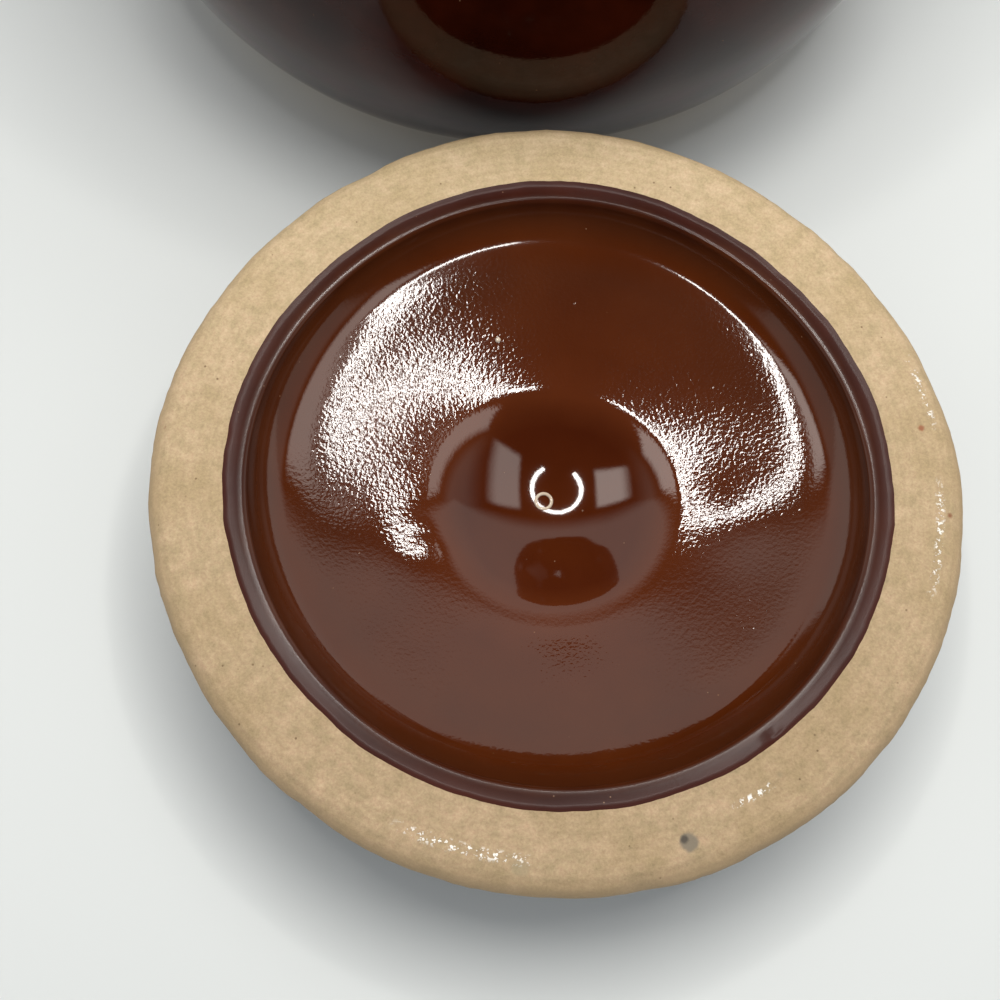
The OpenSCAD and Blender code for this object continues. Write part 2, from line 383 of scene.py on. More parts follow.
# %% [markdown]
# ## The lid
#
# The lid is drawn the way up that it sits on the pot, with its bare ring at height 0, and
# turned over by the last step of each line, because it lies on its knob. From the ring the
# underside drops to a low shelf, falls steeply and turns into a shallow cone, which goes
# over a soft lip into a bowl-shaped dimple under the knob. So the recess slopes inwards all
# over, and slope is what it is drawn by: each of its roundings is an arc from one slope to
# another.

# %% Sizes and lines of the lid
RING_FLAT, EDGE_H, FLANGE_T, FLANGE_W, SHELF_W, SHELF_DROP = 8, 3.6, 7.5, 11, 3.2, 0.8
WALL_LEAN, COVE_ROUND, CONE_SLOPE, LIP_ROUND = 80, 8, 15, 16
DIMPLE_D, DIMPLE_ROUND, DOME_ROUND, DOME_FILLET = 33.8, 31, 99, 4
KNOB_SEAT_T, KNOB_D, KNOB_NECK_D, CROWN_D, KNOB_NECK_ROUND = 1.7, 47, 38, 34, 2


def by_slope(middle, radius, start, end, n):
    """Points of a circle about the middle, as its slope goes from start to end in degrees."""
    return [(middle[0] + radius * math.sin(s), middle[1] + radius * math.cos(s))
            for s in (math.radians(d) for d in steps(start, end, n))]


shelf_r = ring_in_r - SHELF_W
dimple_r = DIMPLE_D / 2
dimple_slope = math.degrees(math.asin(dimple_r / DIMPLE_ROUND))
cove_mid = by_slope((shelf_r, SHELF_DROP), -COVE_ROUND, WALL_LEAN, 90, 1)[0]
cone_edge = by_slope(cove_mid, COVE_ROUND, CONE_SLOPE, 90, 1)[0]
lip_mid_r = dimple_r + LIP_ROUND * math.sin(math.radians(dimple_slope))
lip_edge_r = lip_mid_r - LIP_ROUND * math.sin(math.radians(CONE_SLOPE))
lip_edge_z = cone_edge[1] + (cone_edge[0] - lip_edge_r) * math.tan(math.radians(CONE_SLOPE))
lip_mid = (lip_mid_r, lip_edge_z + LIP_ROUND * math.cos(math.radians(CONE_SLOPE)))
bowl_mid = (0, lip_mid[1] - (LIP_ROUND + DIMPLE_ROUND) * math.cos(math.radians(dimple_slope)))
dimple_z = bowl_mid[1] + DIMPLE_ROUND

knob_neck_r = KNOB_NECK_D / 2
flange_round = FLANGE_T - EDGE_H
dome_z = FLANGE_T - math.sqrt(DOME_ROUND ** 2 - (lid_r - FLANGE_W) ** 2)
neck_mid_r = knob_neck_r + KNOB_NECK_ROUND
neck_rise = math.sqrt((DOME_ROUND + KNOB_NECK_ROUND) ** 2 - neck_mid_r ** 2)
neck_angle = math.degrees(math.atan2(neck_rise, neck_mid_r))
fillet_rise = FLANGE_T + DOME_FILLET - dome_z
fillet_mid_r = math.sqrt((DOME_ROUND + DOME_FILLET) ** 2 - fillet_rise ** 2)
fillet_angle = math.degrees(math.atan2(fillet_rise, fillet_mid_r))
knob_seat_z = max(dimple_z, dome_z + neck_rise) + KNOB_SEAT_T
print("recess", round(lip_edge_z, 1), "deep at the lip, dimple", round(dimple_z, 1))


def underside_line(g):
    """From the bare ring to the middle of the dimple, moved out by g."""
    drop = SHELF_DROP - g
    shelf = [(ring_in_r, 0), (ring_in_r - 0.35, drop * 0.45), (ring_in_r - 0.75, drop * 0.85),
             (ring_in_r - SHELF_W / 3, drop), (mix(ring_in_r, shelf_r, 0.66), drop),
             (shelf_r + 0.35, drop)]
    if g > 0:
        shelf.append((shelf_r, drop + g * 0.15))
    cove = by_slope(cove_mid, COVE_ROUND - g, WALL_LEAN, CONE_SLOPE, 24)
    lip = by_slope(lip_mid, -LIP_ROUND - g, CONE_SLOPE, dimple_slope, 12)
    cone = [(mix(cove[-1][0], lip[0][0], u), mix(cove[-1][1], lip[0][1], u))
            for u in steps(0, 1, 14)[1:-1]]
    bowl = by_slope(bowl_mid, DIMPLE_ROUND - g, dimple_slope, 0, 24)[1:]
    return shelf + cove + cone + lip + bowl


def top_line(g):
    """From the glaze line at the lid's edge to the knob's neck, moved out by g."""
    edge_r = flange_round + g
    return (arc((lid_r - GLAZE_T - flange_round, EDGE_H), edge_r, edge_r, 0, 90, 10)
            + arc((fillet_mid_r, FLANGE_T + DOME_FILLET), DOME_FILLET - g, DOME_FILLET - g,
                  270, 180 + fillet_angle, 8)
            + arc((0, dome_z), DOME_ROUND + g, DOME_ROUND + g, fillet_angle, neck_angle, 28)[1:]
            + arc((neck_mid_r, dome_z + neck_rise), KNOB_NECK_ROUND - g, KNOB_NECK_ROUND - g,
                  180 + neck_angle, 180, 6)[1:]
            + [(knob_neck_r + g, knob_seat_z)])


# %% [markdown]
# The lid was thrown, dried and fired, so it isn't quite round. `out_of_round` pushes every
# piece of it in or out by a few tenths of a millimetre, the same way for the clay and the
# coats, most at the edge and not at all in the middle. It also lets the glaze line wander,
# wears down the outer edge of the ring and dents it where it has been chipped.

# %% Turn over, warp and wear
LID_GAP = 2
LID_AWAY = BELLY_D / 2 + LID_GAP + lid_r
LID_MIDDLE = (0.0, -LID_AWAY * MM)
# Waves round the edge: how many, how high and where the first crest is, in degrees
WAVES = ((2, 0.17, -67), (3, 0.26, -30), (4, 0.34, -4), (5, 0.14, 17))
WARP_IN = 0.12
WANDER_TURNS, FINE_SIZE = 8, 1.9
# The glaze line and the worn edge: place and width, and how far each noise moves them
GLAZE_LINE_R, GLAZE_LINE_W, LINE_WANDER, LINE_FINE = 52.8, 1.6, 0.34, 0.16
WORN_R, WORN_W, WORN_MEAN, WORN_WANDER, WORN_FINE = 61, 3.5, 0.16, 0.30, 0.15
# Only what lies outside CHIPPED_FROM_R and in the top CHIPPED_DEPTH of the ring is chipped
CHIPPED_FROM_R, CHIPPED_DEPTH, CHIP_REACH = 50, 5, 2.5
# Chips and dents in the ring: angle, radius, size and depth
CHIPS = ((-82.8, 64.3, 1.5, 0.45), (-75.9, 63.6, 1.1, 0.40), (-131.7, 64.2, 1.4, 0.35),
         (-75.0, 59.8, 1.1, 0.30), (-55.6, 52.6, 1.0, 0.35), (171.3, 63.8, 1.0, 0.30),
         (38.0, 64.4, 1.3, 0.30), (118.0, 64.2, 1.6, 0.30), (-98.5, 61.6, 1.2, 0.18))


def turned_over(line):
    return [(r, LID_H - z) for r, z in line]


def from_lid_axis(vertex):
    """A vertex's place beside the lid's axis, in millimetres, and its radius."""
    x, y = vertex.co.x / MM, vertex.co.y / MM + LID_AWAY
    return x, y, math.hypot(x, y)


def dent(x, y):
    """How deep the ring is chipped at a place."""
    depth_here = 0
    for degrees, at, size, depth in CHIPS:
        a = math.radians(degrees)
        far = math.hypot(x - at * math.cos(a), y - at * math.sin(a))
        if far < CHIP_REACH * size:
            depth_here += depth * math.exp(-(far / size) ** 2)
    return depth_here


def push_out(x, y, r):
    """How far a place is pushed away from the axis by the warp and the wear."""
    angle = math.atan2(y, x)
    push = sum(a * math.cos(n * (angle - math.radians(lean))) for n, a, lean in WAVES) - WARP_IN
    around = Vector((math.cos(angle), math.sin(angle), 0)) * WANDER_TURNS
    wander = noise.noise(around + Vector((0, 0, 0.3)))
    fine = noise.noise(Vector((x / FINE_SIZE, y / FINE_SIZE, 4.0)))
    on_line = math.exp(-((r - GLAZE_LINE_R) / GLAZE_LINE_W) ** 2)
    push += (LINE_WANDER * wander + LINE_FINE * fine) * on_line
    worn = WORN_MEAN + WORN_WANDER * wander + WORN_FINE * fine
    return push - worn * smooth((r - WORN_R) / WORN_W)


def out_of_round(piece):
    for vertex in piece.data.vertices:
        x, y, r = from_lid_axis(vertex)
        if r < 0.01:
            continue
        if r > CHIPPED_FROM_R and vertex.co.z / MM > LID_H - CHIPPED_DEPTH:
            vertex.co.z -= dent(x, y) * MM
        grow = 1 + push_out(x, y, r) * (r / lid_r) ** 2 / r
        vertex.co.x, vertex.co.y = x * grow * MM, (y * grow - LID_AWAY) * MM


print("chips in the ring:", len(CHIPS), "dent at 60, -24:", round(dent(60, -24), 2))

# %% [markdown]
# Its recess isn't quite even either. The clay sagged a little while it was wet, at both
# sides and most on the near side, where the dimple has hardly any lip. The lamp's
# reflection shows it: on an even cone its bright patches would lie nearer to the pot.
# The same sag is given to the clay and to the glaze on it. `sag` adds up what each soft
# form lowers or raises, from the radius and the direction of a place beside the axis.

# %% Sag of the recess
CONE_R, SAG_END_R, SAG_FADE = 21, 43.5, 6
SIDE_DROP, SIDE_SPAN = 0.06, 22
NEAR_FOCUS, NEAR_DROP, NEAR_CONE_R = 2.3, 0.02, 21.5
# Steps on the near side: depth, radius where it starts and width
NEAR_STEPS = ((0.5, 7, 7), (2.7, 11.5, 11))
# Tilted hollows: tilt, where it ends in y, the middle in x and y, and the reach in x and y
HOLLOWS = ((0.055, 12, -30, -3, 12, 13), (0.055, 8, 31, -2, 9, 9))
# The cone curves up before it meets the rounding, sooner and more at the sides
TURN_R, TURN_END_R, TURN_SOONER, TURN, TURN_MORE = 39, 44, 0.8, 0.0073, 0.0045
# A pressed spot: its middle, then height and reach of its hill and of the pit on top
SPOT_X, SPOT_Y, HILL, HILL_REACH, PIT, PIT_REACH = -21.8, -5.2, 0.36, 3.9, 0.15, 1.7


def swell_at(far, reach):
    return math.exp(-(far / reach) ** 2)


def sag(x, y):
    """How far the recess hangs below its drawn section, in millimetres, beside the axis."""
    r, angle = math.hypot(x, y), math.atan2(y, x)
    aside, toward = math.cos(angle) ** 2, max(0, -math.sin(angle))
    down = SIDE_DROP * aside ** 2 * min(SIDE_SPAN, max(0, r - CONE_R))
    near = NEAR_DROP * max(0, r - NEAR_CONE_R)
    near += sum(depth * smooth((r - start) / width) for depth, start, width in NEAR_STEPS)
    down += toward ** NEAR_FOCUS * near
    for tilt, end, mid_x, mid_y, reach_x, reach_y in HOLLOWS:
        down += tilt * (end - y) * swell_at(x - mid_x, reach_x) * swell_at(y - mid_y, reach_y)
    turn = max(0, min(r, TURN_END_R) - TURN_R + TURN_SOONER * aside)
    down -= (TURN + TURN_MORE * aside) * turn ** 2
    far = math.hypot(x - SPOT_X, y - SPOT_Y)
    pressed = PIT * swell_at(far, PIT_REACH) - HILL * swell_at(far, HILL_REACH)
    return down * (1 - smooth((r - SAG_END_R) / SAG_FADE)) + pressed


COAT_REACH = 1.2


def section_depth(line, r):
    """Depth of a section line at a radius."""
    for (r0, z0), (r1, z1) in zip(line, line[1:]):
        if r1 <= r <= r0 and r0 > r1:
            return z0 + (z1 - z0) * (r0 - r) / (r0 - r1)
    return line[-1][1]


def sag_recess(piece):
    """Lower what lies within COAT_REACH of the recess's surface."""
    line = underside_line(0)
    for vertex in piece.data.vertices:
        x, y, r = from_lid_axis(vertex)
        if r < shelf_r and LID_H - vertex.co.z / MM < section_depth(line, r) + COAT_REACH:
            vertex.co.z -= sag(x, y) * MM


def recess_z(x, y):
    """Height of the glaze in the recess above the table, in millimetres."""
    return LID_H - section_depth(underside_line(GLAZE_T), math.hypot(x, y)) - sag(x, y)


print("sag at the left, near and far side:",
      [round(sag(x, y), 2) for x, y in ((-40, 0), (0, -40), (0, 40))])

# %% Spin the lid
LID_SEGMENTS = 320
edge = arc((ring_in_r + RING_FLAT, EDGE_H), RING_W - RING_FLAT, EDGE_H, 270, 360, 14)
ring_top = [(mix(ring_in_r, ring_in_r + RING_FLAT, u), 0) for u in steps(0, 1, 8)[1:-1]]
lid_section = underside_line(0)[::-1] + ring_top + edge + top_line(0)[1:] + [(0, knob_seat_z)]
lid_clay = draw_line("lid_clay", turned_over(lid_section), LID_MIDDLE)
spin(lid_clay, LID_SEGMENTS, LID_MIDDLE)
recess_glaze = coat("lid_recess_glaze", turned_over(underside_line(GLAZE_T)),
                    turned_over(underside_line(-SINK)), LID_SEGMENTS, LID_MIDDLE)
dome_glaze = coat("lid_dome_glaze", turned_over(top_line(GLAZE_T)),
                  turned_over(top_line(-SINK)), LID_SEGMENTS, LID_MIDDLE)
KNOB_SINK, KNOB_TUCK, WIDEST_AT = 0.4, 0.05, 0.55
crown_r, knob_r, neck_r_glazed = CROWN_D / 2, KNOB_D / 2, knob_neck_r + GLAZE_T
wide_z = mix(knob_seat_z, LID_H, WIDEST_AT)
seat_z = knob_seat_z - KNOB_SINK
knob_line = ([(0, seat_z), (neck_r_glazed - KNOB_TUCK, seat_z)]
             + [(mix(neck_r_glazed, knob_r, ease(u)), mix(knob_seat_z, wide_z, u))
                for u in steps(0, 1, 14)]
             + arc((crown_r, wide_z), knob_r - crown_r, LID_H - wide_z, 0, 90, 18)[1:]
             + [(crown_r * 0.6, LID_H), (0, LID_H)])
knob = draw_line("lid_knob_glazed", turned_over(knob_line), LID_MIDDLE)
spin(knob, SEGMENTS, LID_MIDDLE)
for piece, node in ((lid_clay, "lid_disc"), (recess_glaze, "lid_glaze_underside"),
                    (dome_glaze, "lid_glaze_top"), (knob, "lid_knob")):
    if piece in (lid_clay, recess_glaze):
        sag_recess(piece)
    out_of_round(piece)
    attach(piece, "lid")
    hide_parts(node)
print("lid", report_size(lid_clay), "knob", report_size(knob))

# %% [markdown]
# Two bubbles broke in the glaze while it melted. One left a thin raised ring in the dimple,
# the other a pinhead on the cone. Each is a small piece of glass sunk halfway into the coat.

# %% Bubbles in the glaze
BURST_R, BURST_EDGE_R, BURST_TILT = 1.35, 0.3, 7
PINHEAD_R, PINHEAD_RISE = 0.5, 0.05


def settle(piece, name):
    piece.name = piece.data.name = name
    apply_place(piece)
    bpy.ops.object.shade_smooth_by_angle(angle=math.radians(COAT_CREASE))
    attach(piece, "lid")
    return piece


def on_recess(degrees, radius, lift=0.0):
    """A place on the glaze of the recess, in metres, from its angle and radius on the lid."""
    x, y = radius * math.cos(math.radians(degrees)), radius * math.sin(math.radians(degrees))
    return (x * MM, (y - LID_AWAY) * MM, (recess_z(x, y) + lift) * MM)


bpy.ops.mesh.primitive_torus_add(major_segments=40, minor_segments=10, major_radius=BURST_R * MM,
                                 minor_radius=BURST_EDGE_R * MM, location=on_recess(119.0, 2.6),
                                 rotation=(math.radians(BURST_TILT), 0, 0))
burst_ring = settle(bpy.context.object, "lid_burst_bubble")
bpy.ops.mesh.primitive_uv_sphere_add(segments=20, ring_count=12, radius=PINHEAD_R * MM,
                                     location=on_recess(106.3, 29.8, PINHEAD_RISE))
pinhead = settle(bpy.context.object, "lid_pinhead_bubble")
print("bubbles:", report_size(burst_ring), report_size(pinhead))

# %% [markdown]
# ## Colours and nodes
#
# A material is a small network. `add` places one node, sets it and links it, so that each
# network below reads as a list. Colours are written as the hex values that a picture
# program shows, and `colour` turns them into the linear light that Blender works in.
# Patterns read Object coordinates, which are metres here, so `per_mm` gives the scale at
# which a noise has features of a given size.

# %% Node helpers
def colour(code):
    parts = [int(code[i:i + 2], 16) / 255 for i in (1, 3, 5)]
    return [p / 12.92 if p <= 0.04045 else ((p + 0.055) / 1.055) ** 2.4 for p in parts] + [1]


def per_mm(size):
    return 1 / (size * MM)


def add(tree, kind, sockets=None, **settings):
    """Add a node, with its own settings and with a value or a link for each named socket."""
    node = tree.nodes.new("ShaderNode" + kind)
    for key, value in settings.items():
        setattr(node, key, value)
    for key, value in (sockets or {}).items():
        if isinstance(value, bpy.types.NodeSocket):
            tree.links.new(value, node.inputs[key])
        else:
            node.inputs[key].default_value = value
    return node


def banded(tree, factor, stops):
    """A ramp of (place, linear colour) stops."""
    node = add(tree, "ValToRGB", {"Fac": factor})
    band = node.color_ramp
    while len(band.elements) < len(stops):
        band.elements.new(0.5)
    for element, (place, value) in zip(band.elements, stops):
        element.position = place
        element.color = value
    return node.outputs["Color"]


def ramp(tree, factor, *stops):
    """A ramp of (place, hex colour) stops."""
    return banded(tree, factor, [(place, colour(code)) for place, code in stops])


def curve(tree, factor, *stops):
    """A ramp of (place, value) stops that gives a plain number."""
    return banded(tree, factor, [(place, (value, value, value, 1)) for place, value in stops])


def blend(tree, kind, factor, a, b):
    node = add(tree, "Mix", {"Factor": factor, 6: a, 7: b}, data_type="RGBA", blend_type=kind)
    return node.outputs[2]


def maths(tree, operation, a, b=0.0):
    return add(tree, "Math", {0: a, 1: b}, operation=operation).outputs[0]


def chain(tree, operation, values):
    out = values[0]
    for value in values[1:]:
        out = maths(tree, operation, out, value)
    return out


def total(tree, *values):
    return chain(tree, "ADD", values)


def product(tree, *values):
    return chain(tree, "MULTIPLY", values)


def highest(tree, *values):
    return chain(tree, "MAXIMUM", values)


def noise_at(tree, where, size, detail=2.0, roughness=0.5):
    node = add(tree, "TexNoise", {"Vector": where, "Scale": per_mm(size), "Detail": detail,
                                  "Roughness": roughness})
    return node.outputs["Fac"]


def new_material(name):
    material = bpy.data.materials.new(name)
    material.use_nodes = True
    tree = material.node_tree
    shader = tree.nodes["Principled BSDF"]
    where = add(tree, "TexCoord").outputs["Object"]
    return material, tree, shader, where


def set_sockets(tree, shader, **values):
    for key, value in values.items():
        socket = shader.inputs[key.replace("_", " ")]
        if isinstance(value, bpy.types.NodeSocket):
            tree.links.new(value, socket)
        else:
            socket.default_value = value


def dress(material, slot, *pieces):
    for piece in pieces:
        piece.data.materials.clear()
        piece.data.materials.append(material)


print("mid grey in linear light:", round(colour("#808080")[0], 3))


# %% [markdown]
# ## Bare stoneware
#
# Buff stoneware is clay fired until it is nearly glass. Bare, it is matt and fine-grained,
# cream to straw in soft mottles a few millimetres wide, with a sandy grain and small iron
# specks. Where the lid has been turned on its pot for years, the break of the ring is
# polished in short arcs that glitter, from their low roughness and from a painted glint of near
# white on their grains.

# %% Places on the lid
def on_lid(degrees, radius):
    """A place at the level of the ring, in metres, from its angle and radius on the lid."""
    a = math.radians(degrees)
    return radius * math.cos(a) * MM, (radius * math.sin(a) - LID_AWAY) * MM, LID_H * MM


def spot(tree, where, place, size, soft, ragged=0.3):
    """1 inside a spot of the given size in millimetres, 0 outside, with a ragged edge."""
    far = add(tree, "VectorMath", {0: where, 1: place}, operation="DISTANCE").outputs["Value"]
    far = total(tree, far, product(tree, noise_at(tree, where, size * 0.5, 3), size * MM * ragged))
    border = size * MM * (0.5 + ragged / 2)
    node = add(tree, "MapRange", {"Value": far, "From Min": border + soft * MM,
                                  "From Max": border - soft * MM})
    return node.outputs["Result"]


def lid_polar(tree, where):
    """Radius in millimetres and angle (-0.5 to 0.5 of a turn) about the lid's axis."""
    flat = add(tree, "VectorMath", {0: where, 1: (0, LID_AWAY * MM, 0)}, operation="ADD")
    parts = add(tree, "SeparateXYZ", {0: flat.outputs[0]})
    x, y = parts.outputs["X"], parts.outputs["Y"]
    squares = total(tree, product(tree, x, x), product(tree, y, y))
    radius = product(tree, maths(tree, "SQRT", squares), 1 / MM)
    angle = product(tree, maths(tree, "ARCTAN2", y, x), 1 / math.tau)
    return radius, angle


print("a place on the ring:", [round(c, 4) for c in on_lid(-75.0, 59.8)])

# %% Marks on the ring
# Iron stains and scuffs: angle, radius, size, softness, colour and strength
MARKS = ((-75.0, 59.8, 2.7, 0.25, "#746B5C", 0.9), (-75.5, 59.3, 1.2, 0.2, "#453F37", 0.9),
         (5.8, 59.1, 1.0, 0.2, "#8B4A2C", 0.8), (-8.4, 61.9, 0.8, 0.2, "#7A4528", 0.8),
         (171.3, 63.5, 1.3, 0.2, "#7A3A26", 0.8), (-58.6, 57.0, 0.8, 0.2, "#8B7A5E", 0.6),
         (-98.5, 61.2, 2.4, 0.2, "#8F8467", 0.45))
# Polished arcs, whose grains also get a painted glint: middle and reach as shares of a turn,
# radius and width in millimetres
POLISHED_GLINT_ARCS = ((-0.034, 0.028, 60.4, 0.9), (0.034, 0.020, 61.2, 0.8),
            (-0.296, 0.030, 60.1, 1.1), (-0.176, 0.012, 57.6, 0.7))
RINGS_PER_MM, RINGS_WANDER = 4.6, 9
# Painted light on the ring: where it starts and where it is full, in metres along y
PAINTED_LIGHT_Y = (-0.190, -0.090)
DARK_EDGE_R = 66
CLAY_ROUGH, POLISH_ROUGH = 0.78, 0.16


def off_by(tree, value, middle, reach):
    """How far a value is from the middle, as a share of the reach."""
    apart = maths(tree, "ABSOLUTE", maths(tree, "SUBTRACT", value, middle))
    return maths(tree, "DIVIDE", apart, reach)


def polish_and_glint_arcs(tree, where, radius, angle):
    """1 on the polished grains along the arcs, which get a painted glint as well as low roughness,
    0 elsewhere.
    """
    arcs = []
    for middle, reach, at, wide in POLISHED_GLINT_ARCS:
        along = curve(tree, off_by(tree, angle, middle, reach), (0.6, 1.0), (1.0, 0.0))
        across = curve(tree, off_by(tree, radius, at, wide), (0.3, 1.0), (1.0, 0.0))
        arcs.append(product(tree, along, across))
    glint = curve(tree, noise_at(tree, where, 0.7, 2, 0.7), (0.56, 0.0), (0.60, 1.0))
    return product(tree, highest(tree, *arcs), glint)


def worn_and_painted_ring(tree, where, cloud, tone, height):
    """The clay's tone and height with throwing rings, stains, polish and painted light, and its
    roughness.
    """
    radius, angle = lid_polar(tree, where)
    # Faint rings are left by the potter's fingers
    wavy = total(tree, product(tree, radius, RINGS_PER_MM), product(tree, cloud, RINGS_WANDER))
    thrown = total(tree, product(tree, maths(tree, "SINE", wavy), 0.5), 0.5)
    lines = ramp(tree, thrown, (0.0, "#6C6C6C"), (1.0, "#969696"))
    tone = blend(tree, "OVERLAY", 0.16, tone, lines)
    height = total(tree, height, product(tree, thrown, 0.35))
    # Painted light: the ring is painted paler towards its far side, by the pot, where it is lit
    # more brightly
    y = add(tree, "SeparateXYZ", {0: where}).outputs["Y"]
    painted_far_light = add(tree, "MapRange", {"Value": y, "From Min": PAINTED_LIGHT_Y[0], "From Max": PAINTED_LIGHT_Y[1]})
    painted_far_light = painted_far_light.outputs["Result"]
    painted_light_tint = ramp(tree, painted_far_light, (0.0, "#F4F3F1"), (0.55, "#F9F8F7"), (1.0, "#FFFFFF"))
    tone = blend(tree, "MULTIPLY", 1.0, tone, painted_light_tint)
    tone = blend(tree, "SOFT_LIGHT", product(tree, painted_far_light, 0.7), tone, colour("#E6E6E2"))
    # The rounded outer edge of the ring is coloured darker
    edge_share = maths(tree, "DIVIDE", radius, DARK_EDGE_R)
    darker = curve(tree, edge_share, (0.945, 0.0), (0.985, 0.75))
    tone = blend(tree, "MIX", darker, tone, colour("#A98F6B"))
    for degrees, at, size, soft, code, amount in MARKS:
        mark = spot(tree, where, on_lid(degrees, at), size, soft)
        tone = blend(tree, "MIX", product(tree, mark, amount), tone, colour(code))
    polish_and_glint = polish_and_glint_arcs(tree, where, radius, angle)
    # Painted highlight: the polished grains are painted near white as a glint
    tone = blend(tree, "MIX", product(tree, polish_and_glint, 0.85), tone, colour("#F6F1E7"))
    rough = curve(tree, polish_and_glint, (0.0, CLAY_ROUGH), (1.0, POLISH_ROUGH))
    return tone, total(tree, height, product(tree, polish_and_glint, 1.5)), rough


print("marks:", len(MARKS), "polished arcs:", len(POLISHED_GLINT_ARCS))


# %% Stoneware material
def stoneware(name, worn):
    material, tree, shader, where = new_material(name)
    mottle = noise_at(tree, where, 2.6, 5, 0.7)
    cloud = noise_at(tree, where, 14, 3, 0.6)
    grain = noise_at(tree, where, 0.42, 3, 0.75)
    tone = ramp(tree, mottle, (0.32, "#BBA47D"), (0.50, "#C6B08A"), (0.68, "#D0BC97"))
    clouds = curve(tree, cloud, (0.38, 0.40), (0.58, 0.0))
    tone = blend(tree, "MIX", clouds, tone, colour("#B79B70"))
    sand = ramp(tree, grain, (0.28, "#4E4E4E"), (0.72, "#AEAEAE"))
    tone = blend(tree, "OVERLAY", 0.45, tone, sand)
    cells = add(tree, "TexVoronoi", {"Vector": where, "Scale": per_mm(2.6)})
    fleck = curve(tree, cells.outputs["Distance"], (0.05, 1.0), (0.09, 0.0))
    chosen = curve(tree, noise_at(tree, where, 4.2, 0), (0.56, 0.0), (0.62, 0.85))
    tone = blend(tree, "MIX", product(tree, fleck, chosen), tone, colour("#6A5136"))
    height, rough = total(tree, product(tree, grain, 0.6), product(tree, mottle, 0.9)), CLAY_ROUGH
    # The worn ring also carries painted light: a paler far side and near-white glints
    if worn:
        tone, height, rough = worn_and_painted_ring(tree, where, cloud, tone, height)
    bump = add(tree, "Bump", {"Height": height, "Strength": 0.55, "Distance": 0.16 * MM})
    set_sockets(tree, shader, Base_Color=tone, Roughness=rough, IOR=1.5,
                Normal=bump.outputs["Normal"])
    return material


bare_clay = stoneware("bare_buff_stoneware", worn=False)
worn_and_painted_clay = stoneware("worn_buff_stoneware_painted_light", worn=True)
dress(bare_clay, "buff_stoneware", pot_clay)
dress(worn_and_painted_clay, "buff_stoneware", lid_clay)
print("stoneware nodes:", len(worn_and_painted_clay.node_tree.nodes))

# %% [markdown]
# ## Brown glaze
#
# An iron-brown slip glaze is thick dark glass. It breaks to amber where it runs thin, over
# ridges and edges, and pools nearly black in hollows. Its skin is smooth where it lay thick
# and has the fine dimpling of an orange's peel where it lay thin. So one network makes all
# three coats, with its own colours, and the recess adds how the colour goes with radius.

# %% Glaze material
RECESS_RAMP_R = 54


def glaze(name, thin, usual, deep, peel, rings=None, shine=0.5):
    material, tree, shader, where = new_material(name)
    drift = noise_at(tree, where, 16, 3, 0.55)
    tone = ramp(tree, drift, (0.30, deep), (0.50, usual), (0.74, thin))
    skin = noise_at(tree, where, 0.6, 1.5, 0.5)
    swell = noise_at(tree, where, 6.0, 1)
    rough = 0.07
    if rings:
        radius, _ = lid_polar(tree, where)
        wander = maths(tree, "SUBTRACT", noise_at(tree, where, 11, 2), 0.5)
        wavy = total(tree, radius, product(tree, wander, 3.0))
        wavy_share = maths(tree, "DIVIDE", wavy, RECESS_RAMP_R)
        tone = blend(tree, "MIX", rings["hold"], tone, ramp(tree, wavy_share, *rings["colours"]))
        share = maths(tree, "DIVIDE", radius, RECESS_RAMP_R)
        peel, rough, shine = [curve(tree, share, *rings[key])
                              for key in ("peel", "rough", "shine")]
    grit = add(tree, "TexVoronoi", {"Vector": where, "Scale": per_mm(2.3)})
    fleck = curve(tree, grit.outputs["Distance"], (0.035, 1.0), (0.06, 0.0))
    chosen = curve(tree, noise_at(tree, where, 3.1, 0), (0.60, 0.0), (0.66, 0.7))
    fleck = product(tree, fleck, chosen)
    tone = blend(tree, "MIX", fleck, tone, colour("#8C6A50"))
    height = total(tree, product(tree, skin, peel), product(tree, swell, 0.5),
                   product(tree, fleck, 0.3))
    bump = add(tree, "Bump", {"Height": height, "Strength": 0.6, "Distance": 0.06 * MM})
    set_sockets(tree, shader, Base_Color=tone, Roughness=rough, IOR=1.52,
                Specular_IOR_Level=shine, Normal=bump.outputs["Normal"])
    return material


# Along the recess, from its middle to RECESS_RAMP_R
recess_rings = {
    "hold": 0.75,
    "colours": ((0.0, "#461B06"), (0.27, "#421808"), (0.36, "#542611"), (0.50, "#4A200D"),
                (0.74, "#45200F"), (0.83, "#481D06"), (0.90, "#43200E"), (0.94, "#2A0E08"),
                (0.985, "#351311")),
    "peel": ((0.0, 0.03), (0.32, 0.08), (0.42, 0.75), (0.74, 0.85), (0.82, 0.25), (1.0, 0.12)),
    "rough": ((0.0, 0.05), (0.80, 0.07), (0.90, 0.12), (0.94, 0.24), (1.0, 0.30)),
    "shine": ((0.0, 0.5), (0.90, 0.5), (0.935, 0.16), (1.0, 0.12)),
}
dark_glaze = glaze("thick_brown_glaze", "#381105", "#280A03", "#1A0502", 0.25, shine=0.17)
inner_glaze = glaze("liner_brown_glaze", "#5C2E14", "#4A2210", "#34170B", 0.4)
recess_finish = glaze("recess_brown_glaze", "#5A2A10", "#4A200C", "#3A1607", 1.0, recess_rings)
bubble_finish = glaze("bubble_edge_glaze", "#E4D8C8", "#C4B29C", "#94765C", 0.3)
dress(dark_glaze, "brown_glaze", outer_glaze, dome_glaze, knob, ear_right, ear_left)
dress(inner_glaze, "liner_glaze", liner_glaze)
dress(recess_finish, "liner_glaze", recess_glaze)
dress(bubble_finish, "liner_glaze", burst_ring, pinhead)
print("glaze nodes:", len(dark_glaze.node_tree.nodes), "in the recess:",
      len(recess_finish.node_tree.nodes))

